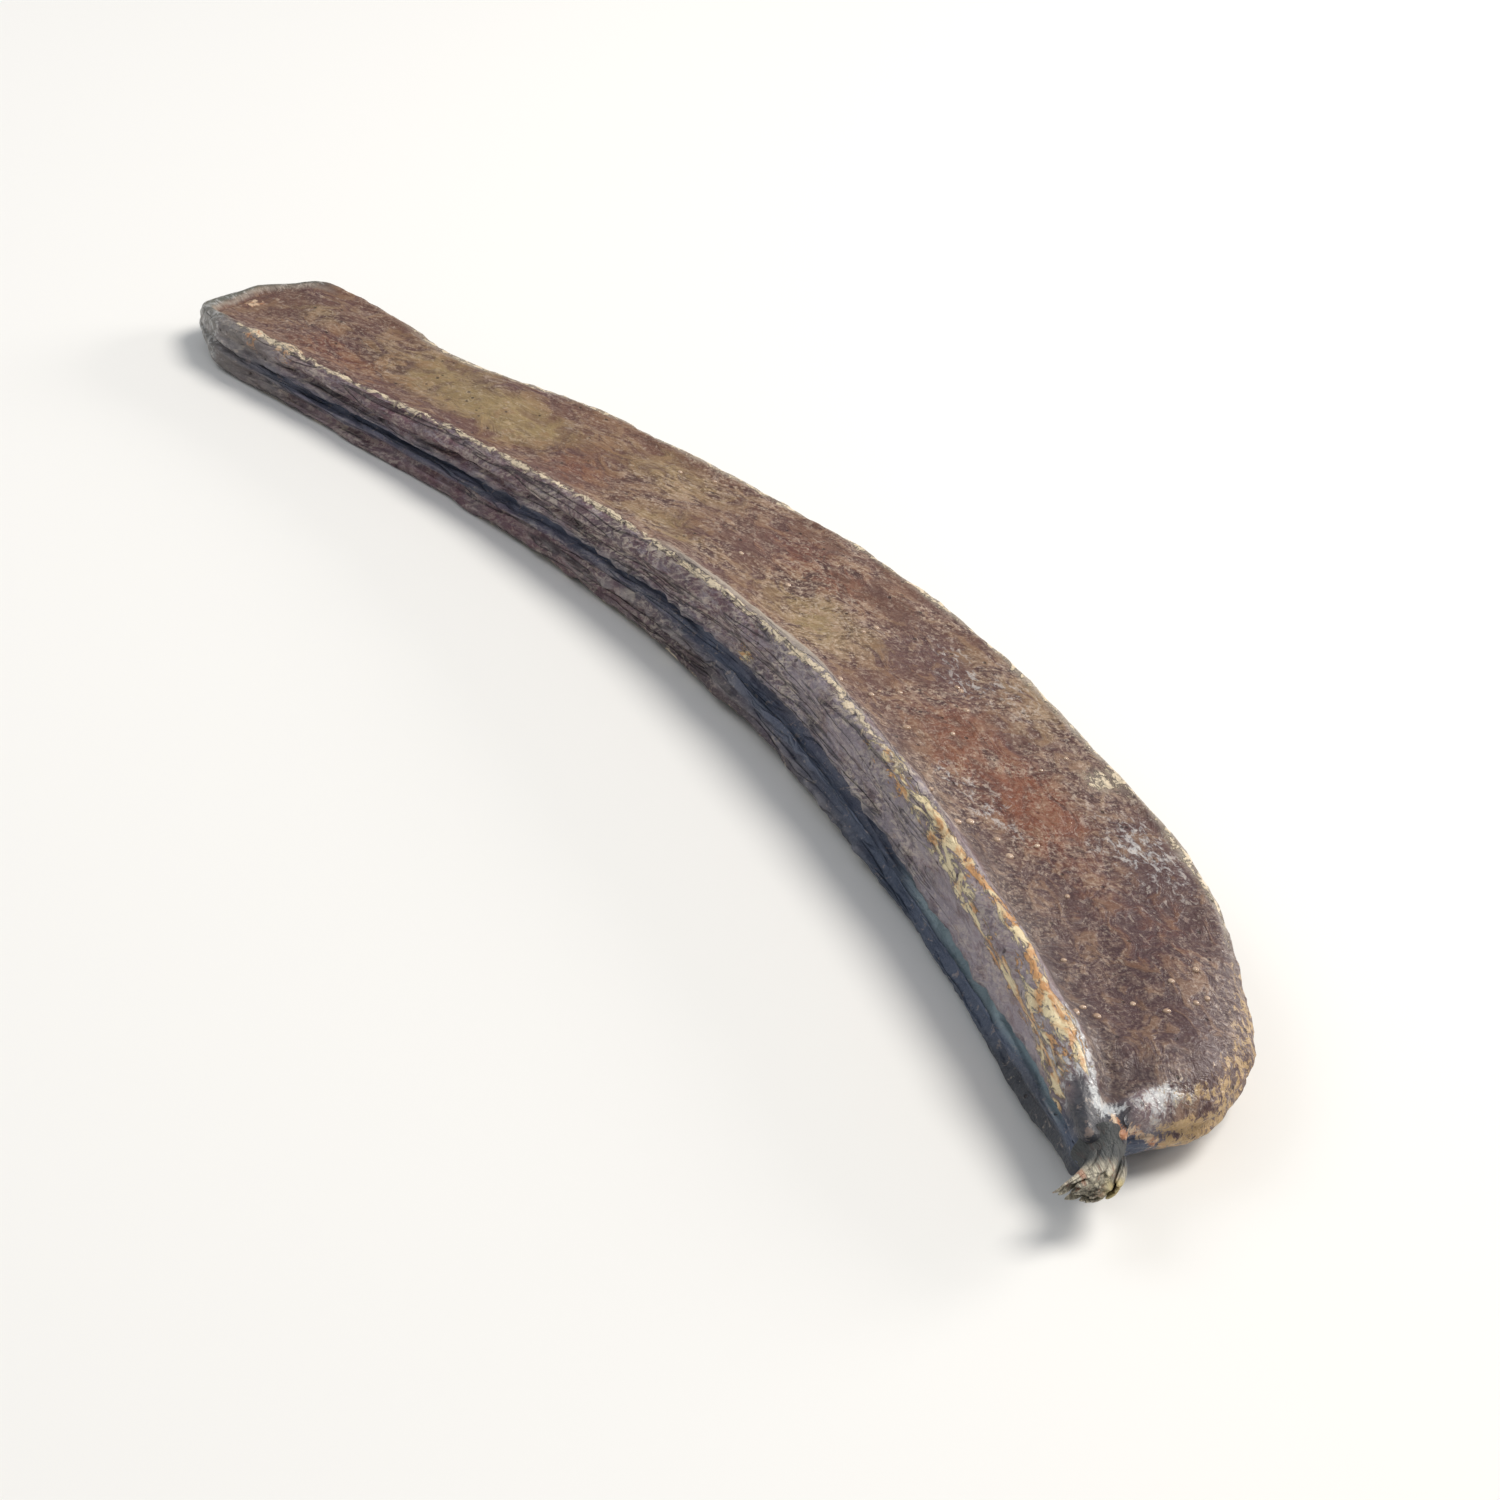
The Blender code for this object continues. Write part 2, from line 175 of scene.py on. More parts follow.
def finer_copy(name, plain, levels):
    """Copy a plain piece, join its split faces to four-sided ones and round it by subdivision."""
    piece = bpy.data.objects.new(name, plain.data.copy())
    bpy.context.scene.collection.objects.link(piece)
    piece.data.materials.clear()
    bpy.ops.object.select_all(action="DESELECT")
    bpy.context.view_layer.objects.active = piece
    piece.select_set(True)
    bpy.ops.object.mode_set(mode="EDIT")
    bpy.ops.mesh.select_all(action="SELECT")
    bpy.ops.mesh.remove_doubles(threshold=0.01 * MM)
    bpy.ops.mesh.customdata_custom_splitnormals_clear()
    bpy.ops.mesh.mark_sharp(clear=True)
    joined = math.radians(60)
    bpy.ops.mesh.tris_convert_to_quads(face_threshold=joined, shape_threshold=joined)
    bpy.ops.object.mode_set(mode="OBJECT")
    rounding = piece.modifiers.new("rounding", "SUBSURF")
    rounding.levels = levels
    rounding.render_levels = levels
    bpy.ops.object.modifier_apply(modifier="rounding")
    bpy.ops.object.shade_smooth()
    return piece


def read_places(mesh):
    """Give a mesh's points as rows of x, y and z in mm."""
    flat = np.empty(len(mesh.vertices) * 3)
    mesh.vertices.foreach_get("co", flat)
    return flat.reshape(-1, 3) / MM


def move_points(mesh, places):
    """Put a mesh's points at rows of x, y and z given in mm."""
    mesh.vertices.foreach_set("co", (places * MM).ravel())
    mesh.update()


def paint(mesh, name, values):
    """Keep a value from 0 to 1 for each point, for the materials to read."""
    held = mesh.attributes.new(name, "FLOAT", "POINT")
    held.data.foreach_set("value", np.clip(values, 0.0, 1.0).astype(np.float32))


def paint_straight(mesh, spots):
    """Keep each point's straightened place in mm, which the patterns are laid out in."""
    held = mesh.attributes.new("straight", "FLOAT_VECTOR", "POINT")
    held.data.foreach_set("vector", spots.astype(np.float32).ravel())


husk = finer_copy("husk", frame["nodes"]["pod"], 2)
count = len(husk.data.vertices)
places = read_places(husk.data)
straight = straighten(places)
along, across, through = straight.T

# The outline of the straightened pod, read in short cells, and how far each point lies inside it. The
# search for each starts from a distance that is larger than any on the pod
CELL = 1.5
BEYOND = 99.0
cells = np.clip((along / CELL).astype(int), 0, int(POD_LENGTH / CELL) - 1)
cell_count = cells.max() + 1
low_edge = np.full(cell_count, BEYOND)
high_edge = np.full(cell_count, -BEYOND)
rim_height = np.zeros(cell_count)
np.minimum.at(low_edge, cells, across)
np.maximum.at(high_edge, cells, across)
np.maximum.at(rim_height, cells, np.abs(through))
cell_middle = (np.arange(cell_count) + 0.5) * CELL
suture_line = np.stack([cell_middle, low_edge], axis=1)
dorsal_line = np.stack([cell_middle, high_edge], axis=1)[::-1]
tip_point = straight[along.argmin(), :2]
edge_line = np.concatenate([[tip_point], suture_line, dorsal_line, [tip_point]])
inset = np.full(count, BEYOND)
for start, end in zip(edge_line[:-1], edge_line[1:]):
    reach = end - start
    share = np.clip(((straight[:, :2] - start) @ reach) / (reach @ reach), 0.0, 1.0)
    away = np.linalg.norm(straight[:, :2] - start - share[:, None] * reach, axis=1)
    inset = np.minimum(inset, away)

# Uneven fields, shared by the relief and the colours
swells = grain(straight, (17.0, 9.0, 30.0), 2, 3.1)
slanted = np.stack([along + 0.5 * across, across - 0.5 * along, through], axis=1)
wrinkles = 1 - np.abs(grain(slanted, (1.9, 7.0, 9.0), 3, 11.7))
puckers = grain(straight, (3.2, 2.4, 3.0), 3, 7.3)
fibres = grain(straight, (9.0, 1.3, 1.0), 3, 23.0)
ragged = grain(straight, (1.7, 1.4, 1.1), 3, 41.0)
drift_along = 3.0 * grain(straight, (6.0, 5.0, 6.0), 3, 53.0)
drift_across = 2.4 * grain(straight, (6.0, 5.0, 6.0), 3, 67.0)

# Where each part of the pod is, as distances in mm and as shares from 0 to 1. A point's height on the
# outer wall runs from -1 at the lower crest to 1 at the upper one
rim = np.interp(along, cell_middle, rim_height)
wall_share = np.clip(through / rim, -1.0, 1.0)
below_crest = rim - through
seam_away = through + np.interp(along, line_along, line_drop)
neck_away = np.hypot(along - POD_LENGTH, across - NECK_ACROSS)
on_suture = rise(across, -3.0, -8.0)
on_dorsal = 1 - on_suture
on_margin = rise(inset, 3.4, 1.6)
on_face = 1 - on_margin
on_wall = on_margin * on_suture

# The dark band of the suture margin reaches further on to the face in the stem half, and the pale
# crest is thinner and further out where the middle of the pod is capped with grey
band_edge = 1.25 + 1.5 * rise(along, 100, 142)
on_band = on_suture * rise(inset - band_edge + 0.30 * ragged, 0.4, -0.4)
tip_roll = rise(inset, 2.4, 1.5) * rise(along, 11, 5)
lip_edge = on_suture * near(seam_away, 1.1, 0.45) * rise(inset, 3.0, 1.5)
capped = rise(along, 80, 88) * rise(along, 122, 110)
crest = on_suture * near(inset, 1.1 - 0.45 * capped, 0.55 - 0.2 * capped)
crest = crest * rise(np.abs(wall_share), 0.75, 0.92)

# Relief in mm along the surface's outward direction: seed swells, wrinkles and puckers on the faces,
# and lengthwise fibres on the margins and in the seam
relief = on_face * (0.50 * swells + 0.08 * (wrinkles - 0.75) + 0.16 * puckers)
fibre_relief = 0.26 * fibres + 0.12 * ragged
relief += on_margin * fibre_relief * rise(along, 3, 14) * (1 - 0.6 * rise(along, 165, 178))
relief += on_suture * near(seam_away, 0.0, 0.8) * (0.30 * fibres - 0.10)

# The upper lip swells between its crest and the seam, and a smooth valley widens below it
relief += 0.40 * on_wall * near(wall_share, 0.62, 0.24) * rise(along, 16, 34)
valley = rise(along, 84, 104) * rise(along, 172, 158)
relief -= 0.60 * on_wall * valley * near(seam_away, -0.9, 1.35)

# Lengthwise furrows and, with a negative depth, ragged secondary ridges: mm from the seam, where along
# the pod each starts and ends, its depth and its width
# The pale tops of the ridges and of the upper lip's edge are painted highlights
ridges = 0.8 * lip_edge * rise(ragged, -0.3, 0.5)
for middle, start, end, depth, width in (
    (-1.9, 12, 84, 0.50, 0.32), (1.7, 16, 78, 0.45, 0.32), (-4.1, 56, 120, 0.50, 0.30),
    (-2.6, 60, 126, -0.50, 0.42), (-3.5, 92, 138, -0.42, 0.35), (3.4, 20, 70, 0.25, 0.30),
):
    off_line = seam_away - middle - 0.16 * drift_along - 0.012 * (along - start)
    reached = on_wall * rise(along, start, start + 9) * rise(along, end, end - 9)
    relief -= depth * reached * (1 + 0.7 * ragged) * near(off_line, 0.0, width)
    if depth < 0:
        ridges = ridges + reached * rise(ragged, -0.6, 0.4) * near(off_line, 0.15, width)

# Two knobs on the upper lip near the far tip, the ragged edges of the crest and the lip, a bead and a
# crease round the tip with its rounded corner, and two dips beside the neck and below the strip
knobs = near(along, 13.2, 1.5) + near(along, 18.4, 1.7)
knobs = knobs * on_suture * rise(inset, 3.0, 1.2) * rise(wall_share, 0.3, 0.75)
relief += 0.45 * knobs
relief += (crest * (0.04 + 0.22 * ragged) + lip_edge * 0.34 * ragged) * rise(along, 3, 12)
relief += rise(along, 14, 5) * (0.20 * near(inset, 1.3, 0.8) - 0.45 * near(inset, 2.8, 0.5))
relief -= 0.8 * rise(along, 8, 1) * rise(np.abs(wall_share), 0.35, 1.0) * rise(inset, 1.8, 0.2)
relief -= 0.45 * rise(along, 172, 178) * near(across, -9.8, 0.9) * rise(through, 0.5, 2.0)
below_strip = on_suture * near(inset, 4.6, 1.2) * rise(through, 0.0, 1.5)
relief -= 0.35 * rise(along, 140, 160) * below_strip
outward = np.empty(count * 3)
husk.data.vertex_normals.foreach_get("vector", outward)
places = places + outward.reshape(count, 3) * relief[:, None]

# The far tip and the back corner of the stem end are a little rounder than the plain solid, and the
# skin is drawn out a little on to the stalk
rounder = straight.copy()
rounder[:, 0] += 0.7 * rise(along, 179, 181) * rise(np.hypot(across + 12.3, through), 3.9, 2.2)
rounder[:, 0] += 1.8 * rise(along, 10, 0) * rise(np.abs(across + 1.0), 2.5, 8.0) ** 2
rounder[:, 0] -= 1.4 * rise(along, 168, 179) * rise(across, -1.0, 5.0)
places += bend(rounder) - bend(straight)
places[:, 2] = np.maximum(places[:, 2], 0.0)
move_points(husk.data, places)

# Marks that the skin's colours follow, from 0 to 1. These are the broad ones: the band of the suture
# margin, how the strokes turn and calm down along the pod, and the cords, lips and seam, which carry
# painted shade and painted highlights
marks = {}
marks["band"] = on_band
marks["near_half"] = rise(along + drift_along, 78, 118)
marks["stem_end"] = rise(along + drift_along, 118, 165)
marks["tip"] = np.maximum(tip_roll, 0.8 * on_band * rise(along + 1.5 * drift_along, 24, 8))
marks["quiet"] = 0.50 * marks["stem_end"] + 0.45 * rise(along, 88, 45)
lower_lip = on_band * rise(seam_away, 0.0, -1.2)
marks["ridge"] = ridges
# Painted shade: the lower lip is darker from the middle of the pod on
marks["low"] = lower_lip * rise(along, 70, 95)
marks["corded"] = on_band * rise(along, 165, 125) * rise(along, 6, 22)
# Painted shade: blue-grey in the seam and in the valley below the upper lip, which widens in the stem half,
# and on the wing of the wall below the swollen end beside the stalk
widened = rise(along, 84, 112) * rise(along, 172, 158)
seam_line = on_suture * near(seam_away, -1.05 * widened, 0.95 + 1.15 * widened)
wing = rise(along, 177.5, 179.5) * rise(through, -0.6, -1.8)
wing = wing * rise(across, -1.0, -4.0) * rise(across, -11.0, -9.0)
marks["seam"] = seam_line * rise(inset, 4.0, 2.0) * rise(along, 2, 22) + 0.6 * wing
# A painted highlight: a thin pale blue-grey line just below the seam near the stem end
marks["pale_edge"] = on_suture * near(seam_away, -0.3, 0.30) * rise(along, 134, 146)
marks["pale_edge"] *= rise(along, 180, 174)

# Painted shade: dark cold grey round the neck and on the lower lip, and a darker grey-brown in the
# hollow beside the band in the stem half. Lilac and wine on the upper lip, and ash grey on the middle of
# the crest, in the crease round the tip and along the dorsal edge, where it is partly a painted highlight
neck = rise(neck_away + 1.2 * ragged, 7.0, 3.5)
neck = neck * (1 - rise(across, -10.0, -8.0) * rise(through, -0.5, 0.8))
marks["cold"] = lower_lip * rise(along, 106, 140) + neck
upper_lip = on_band * rise(seam_away, 0.5, 1.8) * (0.35 + 0.65 * rise(along, 92, 118))
marks["lilac"] = upper_lip * (0.75 + 0.5 * puckers) - rise(neck_away, 11.0, 7.0)
marks["wine"] = on_band * (0.5 + 0.9 * puckers) * rise(along, 22, 34) * rise(along, 135, 105)
marks["hollow"] = on_suture * rise(along, 112, 140) * rise(neck_away, 2.0, 4.0)
marks["hollow"] *= rise(inset, band_edge - 0.2, band_edge + 0.6)
marks["hollow"] *= rise(inset + 0.5 * drift_across, 8.0, 3.5)
# Along the dorsal edge the pale line is partly cream and ash flecks and partly a painted highlight
dorsal_flecks_and_highlight = on_dorsal * rise(inset, 2.2, 1.0) * near(wall_share, 0.84, 0.16)
tip_crease = near(inset, 2.2 - 0.3 * ragged, 0.28) * rise(along, 12, 6) * rise(through, 0.5, 1.5)
marks["ash"] = on_suture * capped * near(inset, 1.7, 0.75) * rise(through, 1.0, 2.0)
marks["ash"] += 0.7 * tip_crease
marks["ash"] += dorsal_flecks_and_highlight * rise(along, 12, 30) * rise(along, 176, 160) * (0.7 + 0.8 * ragged)

# Soft uneven patches on the broad faces: strength, place along and across, length and width
# The ochre, rust and plum patches are the skin's own colour; the silvery ones are painted highlights.
for name, patches in (
    ("ochre", ((1.0, 47, -1, 9, 5), (0.85, 103, -3.5, 8, 4), (0.7, 31, 1, 9, 5), (0.65, 68, 5, 8, 4),
               (0.6, 78, -5, 9, 3), (0.4, 13, 3, 5, 4), (0.4, 124, 9, 9, 3))),
    ("rust", ((0.9, 142, 0, 8, 3), (0.6, 128, -2, 9, 4), (0.5, 92, 3, 8, 4), (0.2, 160, 3, 7, 5),
              (0.5, 22, -3, 8, 4), (0.4, 60, -3, 6, 5))),
    ("plum", ((0.8, 14, 0, 10, 6), (0.9, 88, 2, 8, 4), (0.7, 60, -3, 7, 4), (0.8, 113, 3, 9, 5),
              (0.6, 136, 5, 8, 5), (0.5, 38, 3, 6, 4))),
    ("painted_highlight", ((0.45, 148, 7.5, 6, 4), (0.4, 133, -5, 3, 2), (0.4, 139, -3.5, 3, 2),
                (0.35, 118, 6, 6, 3))),
):
    marks[name] = np.zeros(count)
    for strength, middle_along, middle_across, long, wide in patches:
        lengthwise = near(along + drift_along, middle_along, long)
        marks[name] += strength * lengthwise * near(across + drift_across, middle_across, wide)

# Painted highlights: silvery white on the tip, at the stem end of the strip, on the swollen end and
# along the crest beside it; the swollen end and that crest are also rubbed to a gloss
dome_line = 179.0 + 0.035 * (across + 1.8) ** 2
stem_dome = near(along, dome_line, 0.8) * rise(through, 0.8, 1.8)
stem_dome = stem_dome * rise(across, -9.2, -7.8) * rise(across, 0.8, -1.6)
highlight_line = on_suture * near(inset, 1.9, 0.5) * rise(along, 169, 174) * rise(across, -8.9, -10.0)
strip_end = on_suture * rise(along, 165, 171) * rise(below_crest, 4.5, 2.5) * rise(neck_away, 4.0, 6.0)
strip_end = strip_end * rise(inset, band_edge + 0.4, band_edge - 0.4)
marks["painted_highlight"] += 0.3 * tip_roll + 1.3 * highlight_line + 1.1 * stem_dome * (0.6 + 0.5 * ragged)
marks["painted_highlight"] += 0.55 * strip_end
marks["gloss"] = stem_dome + 0.8 * highlight_line

# Orange where the skin tore beside the stalk, on the knobs and in one spot on the far tip
torn_line = 2.2 - 0.62 * (across + 10.8) + 0.5 * ragged
torn_edge = near(through, torn_line, 0.60) * rise(along, 180.2, 181.0)
torn_edge = torn_edge * rise(across, -12.2, -11.0) * rise(across, -4.6, -6.2)
marks["orange"] = 0.8 * near(along, 4.6, 0.9) * near(across, -0.5, 1.0) + 0.45 * knobs + 0.95 * torn_edge

# The rubbed strip: one pale line on the crest that parts into two, with flakes between them, and one
# yellow spot halfway along the pod
inner_place = np.interp(along, (130, 137, 146, 152, 163, 168, 176), (1.6, 1.0, 0.7, 1.6, 1.5, 1.2, 1.7))
outer_place = np.interp(along, (138, 142, 150, 157, 168, 176), (0.3, 1.2, 1.2, 2.8, 3.4, 4.2))
inner_line = near(inset, inner_place - 0.35 * ragged - 0.3 * puckers, 0.75) * rise(below_crest, 1.6, 0.9)
outer_line = near(below_crest, outer_place - 0.5 * ragged - 0.4 * puckers, 0.90) * rise(inset, 1.3, 0.7)
between = rise(inset, inner_place, inner_place - 0.5) * rise(below_crest, outer_place, outer_place - 0.8)
strip = np.maximum(inner_line, 0.95 * outer_line) + (0.18 + 0.45 * rise(along, 158, 170)) * between
strip = strip * (1 - rise(along, 176.0, 178.5) * rise(across, -11.0, -9.0))
yellow_spot = on_suture * near(along, 102.6, 1.6) * near(through, 1.1, 0.8)
marks["gold"] = 0.84 * strip * on_suture * rise(along + drift_along, 124, 136) - neck + 0.9 * yellow_spot

# Golden dust on the shoulder and the wall of the swollen end, and cream flakes on the crests, with a cream
# line along the dorsal edge that is partly a painted highlight
stem_shoulder = on_dorsal * rise(along + 0.7 * drift_along, 158, 172) * rise(inset + 0.9 * ragged, 4.0, 1.0)
stem_shoulder = stem_shoulder * (1 - rise(along, 179.0, 180.2) * rise(through, 0.6, 1.8))
stem_wall = rise(along, 177.0, 179.5) * rise(across, -7.0, -5.0)
stem_wall = stem_wall * rise(through, 2.0, 0.8) * rise(through, -4.0, -2.5)
marks["dust"] = np.maximum(0.60 * stem_shoulder, 0.82 * stem_wall) - neck
marks["cream"] = crest * (1.0 + 0.5 * puckers) * rise(along, 6, 14) * rise(along, 140, 132)
marks["cream"] += 0.78 * dorsal_flecks_and_highlight * rise(along, 12, 30) + 0.45 * knobs

paint_straight(husk.data, straight)
for name, values in marks.items():
    paint(husk.data, name, values)


# Dry carob skin: a thin waxy cuticle over leathery tissue, which gives a soft broad gloss. It is
# mottled by fine wrinkles, with ochre and rusty patches, and rubbed cream and gold on the margins.
# Painted highlights and painted shade are laid into the skin's colour as well.
skin = bpy.data.materials.new("dry_carob_skin")
skin.use_nodes = True
tree = skin.node_tree
shader = tree.nodes["Principled BSDF"]
where = node("ShaderNodeAttribute", "Vector", {}, attribute_name="straight")
masks = {name: node("ShaderNodeAttribute", "Fac", {}, attribute_name=name) for name in marks}

# Cloudy patterns: feature size in mm along, across and through, turn in degrees on the face and on
# the wall, the two levels that become 0 and 1, fineness, harshness and swirl
clouds = {}
for name, size, turn, lift, low, high, detail, harshness, swirl in (
    ("blotch", (13.0, 8.0, 9.0), 0, 0, 0.42, 0.58, 3.0, 0.55, 0.8),
    ("calm", (8.0, 6.0, 7.0), 0, 0, 0.40, 0.60, 2.0, 0.5, 0.5),
    ("mottle", (3.8, 2.5, 3.0), 0, 0, 0.38, 0.62, 4.0, 0.60, 1.2),
    ("far_curl", (1.9, 0.6, 0.9), -12, 0, 0.38, 0.62, 3.0, 0.60, 0.8),
    ("near_curl", (1.6, 0.6, 0.9), -72, 0, 0.38, 0.62, 3.0, 0.60, 0.8),
    ("bristle", (2.0, 0.6, 0.5), 0, 24, 0.40, 0.60, 4.0, 0.70, 0.9),
    ("grit", (0.95, 0.75, 0.8), 0, 0, 0.38, 0.62, 3.0, 0.7, 0.6),
    ("sand", (0.42, 0.36, 0.40), 0, 0, 0.36, 0.64, 2.0, 0.6, 0.0),
    ("strand", (11.0, 0.8, 0.7), 0, 0, 0.40, 0.60, 5.0, 0.65, 0.5),
    ("cord", (20.0, 1.7, 1.4), 0, 0, 0.0, 1.0, 2.0, 0.5, 0.6),
    ("flake", (2.8, 0.8, 0.8), 0, 0, 0.40, 0.60, 7.0, 0.78, 0.8),
    ("shred", (1.2, 0.8, 0.8), 0, 0, 0.40, 0.60, 6.0, 0.75, 0.5),
    ("hue", (3.5, 1.4, 1.6), 0, 0, 0.44, 0.56, 4.0, 0.6, 0.6),
):
    turns = (0.0, math.radians(lift), math.radians(turn))
    turned = node("ShaderNodeMapping", 0, {"Vector": where, "Rotation": turns})
    sized = node("ShaderNodeVectorMath", 0, {0: turned, 1: size}, operation="DIVIDE")
    cloud = node("ShaderNodeTexNoise", 0, {"Vector": sized, "Scale": 1.0, "Detail": detail,
                 "Roughness": harshness, "Distortion": swirl})
    clouds[name] = node("ShaderNodeMapRange", 0, {"Value": cloud, "From Min": low, "From Max": high})

# Short wavy strokes of lighter skin follow the pod at the far end and cross it in the near half
curls = {0: masks["near_half"], 2: clouds["far_curl"], 3: clouds["near_curl"]}
clouds["curl"] = node("ShaderNodeMix", 0, curls)

# Painted shade in the furrows between the cords of the margin: dark lines where a long cloud crosses its
# middle level
off = node("ShaderNodeMath", 0, {0: clouds["cord"], 1: 0.5}, operation="SUBTRACT")
off = node("ShaderNodeMath", 0, {0: off}, operation="ABSOLUTE")
furrow_shade = node("ShaderNodeMapRange", 0, {"Value": off, "From Min": 0.035, "From Max": 0.0})
furrow_shade = node("ShaderNodeMath", 0, {0: furrow_shade, 1: masks["corded"]}, operation="MULTIPLY")
strands = node("ShaderNodeMath", 0, {0: clouds["strand"], 1: masks["corded"]}, operation="MULTIPLY")

# Specks darker and lighter than the skin, strong in some places and faint in the calm ones
force = node("ShaderNodeMapRange", 0, {"Value": clouds["calm"], "To Min": 0.30, "To Max": 1.20})
loud = node("ShaderNodeMath", 0, {0: 1.0, 1: masks["quiet"]}, operation="SUBTRACT")
force = node("ShaderNodeMath", 0, {0: force, 1: loud}, operation="MULTIPLY")
specks = {}
for name, cloud, start, end in (
    ("dark_mottle", "mottle", 0.46, 0.05), ("light_mottle", "mottle", 0.56, 0.95),
    ("dark_curl", "curl", 0.40, 0.0), ("light_curl", "curl", 0.48, 0.95),
    ("dark_grit", "grit", 0.34, 0.0), ("light_grit", "grit", 0.60, 1.0),
    ("dark_bristle", "bristle", 0.45, 0.0), ("light_bristle", "bristle", 0.56, 0.92),
    ("light_sand", "sand", 0.66, 1.0),
):
    speck = node("ShaderNodeMapRange", 0, {"Value": clouds[cloud], "From Min": start, "From Max": end})
    specks[name] = node("ShaderNodeMath", 0, {0: speck, 1: force}, operation="MULTIPLY")

# Straw-coloured wisps where the ochre patches lie
wisps = node("ShaderNodeMath", 0, {0: specks["light_curl"], 1: masks["ochre"]}, operation="MULTIPLY")

# Small dark pits where the skin's pores sank, up to half a millimetre across, on one spot in five
spots = node("ShaderNodeVectorMath", 0, {0: where, 1: (1.3, 1.1, 1.2)}, operation="DIVIDE")
pits = node("ShaderNodeTexVoronoi", "Distance", {"Vector": spots, "Scale": 1.0})
kinds = node("ShaderNodeTexVoronoi", "Color", {"Vector": spots, "Scale": 1.0})
pits = node("ShaderNodeMapRange", 0, {"Value": pits, "From Min": 0.20, "From Max": 0.10})
kinds = node("ShaderNodeSeparateColor", 0, {"Color": kinds})
kinds = node("ShaderNodeMapRange", 0, {"Value": kinds, "From Min": 0.80, "From Max": 0.84})
pits = node("ShaderNodeMath", 0, {0: pits, 1: kinds}, operation="MULTIPLY")

# Where other colours cover the skin: a cloud breaks up the mask by a share, crisply for the flakes
# and shreds of pale tissue and for the painted highlights, and softly for the patches on the faces
cover = {}
for name, cloud, share, low, high in (
    ("gold", "flake", 1.0, 1.02, 1.22), ("dust", "shred", 1.0, 0.98, 1.26),
    ("cream", "shred", 1.0, 1.08, 1.38),
    ("orange", "shred", 1.0, 0.95, 1.25),
    ("painted_highlight", "shred", 0.9, 0.80, 1.35), ("lilac", "flake", 0.9, 0.70, 1.30),
    ("ochre", "mottle", 0.5, 0.35, 1.05), ("rust", "mottle", 0.5, 0.35, 1.05),
    ("plum", "mottle", 0.5, 0.35, 1.05),
):
    terms = {0: clouds[cloud], 1: share, 2: masks[name]}
    reached = node("ShaderNodeMath", 0, terms, operation="MULTIPLY_ADD")
    cover[name] = node("ShaderNodeMapRange", 0, {"Value": reached, "From Min": low, "From Max": high})

# Colours, laid one over another: what covers it, how strongly, and the colour
colour = linear("#6e4d3e")
for amount, strength, code in (
    (clouds["blotch"], 0.70, "#553739"),
    (masks["stem_end"], 0.86, "#4b3539"),
    (cover["plum"], 0.70, "#5b3f3e"),
    (cover["ochre"], 0.88, "#98825a"),
    (cover["rust"], 0.75, "#84492e"),
    # painted shade: darker grey-brown in the hollow beside the band
    (masks["hollow"], 0.65, "#4d4344"),
    (wisps, 0.75, "#c9b286"),
    (specks["dark_mottle"], 0.60, "#463030"),
    (specks["light_mottle"], 0.50, "#9c8069"),
    (specks["dark_curl"], 0.32, "#3a2825"),
    (specks["light_curl"], 0.42, "#a58a79"),
    (specks["dark_grit"], 0.28, "#36241f"),
    (specks["light_grit"], 0.42, "#b29b89"),
    (specks["light_sand"], 0.45, "#ccb8a4"),
    (masks["tip"], 0.88, "#686a62"),
):
    weight = node("ShaderNodeMath", 0, {0: amount, 1: strength}, operation="MULTIPLY", use_clamp=True)
    colour = node("ShaderNodeMix", 2, {0: weight, 6: colour, 7: linear(code)}, data_type="RGBA")

band = linear("#8a777b")
for amount, strength, code in (
    (strands, 0.55, "#473b43"),
    (clouds["hue"], 0.35, "#6d5354"),
    (masks["wine"], 0.85, "#69454f"),
    (cover["lilac"], 0.66, "#aaa1aa"),
    (specks["dark_mottle"], 0.40, "#3a2e36"),
    (specks["dark_bristle"], 0.32, "#3a2f37"),
    (specks["light_bristle"], 0.70, "#cbbcae"),
    (specks["dark_grit"], 0.40, "#272025"),
    (specks["light_grit"], 0.50, "#cfc2b2"),
    (masks["tip"], 0.75, "#6f7069"),
    # painted shade on the lower lip
    (masks["low"], 0.55, "#3a3538"),
    # painted shade: dark cold grey on the lower lip and round the neck
    (masks["cold"], 0.88, "#30373f"),
    # painted shade in the furrows
    (furrow_shade, 0.75, "#1d1c22"),
    # painted highlights on the ridge tops and the lip's edge
    (masks["ridge"], 0.60, "#a39a98"),
):
    weight = node("ShaderNodeMath", 0, {0: amount, 1: strength}, operation="MULTIPLY", use_clamp=True)
    band = node("ShaderNodeMix", 2, {0: weight, 6: band, 7: linear(code)}, data_type="RGBA")

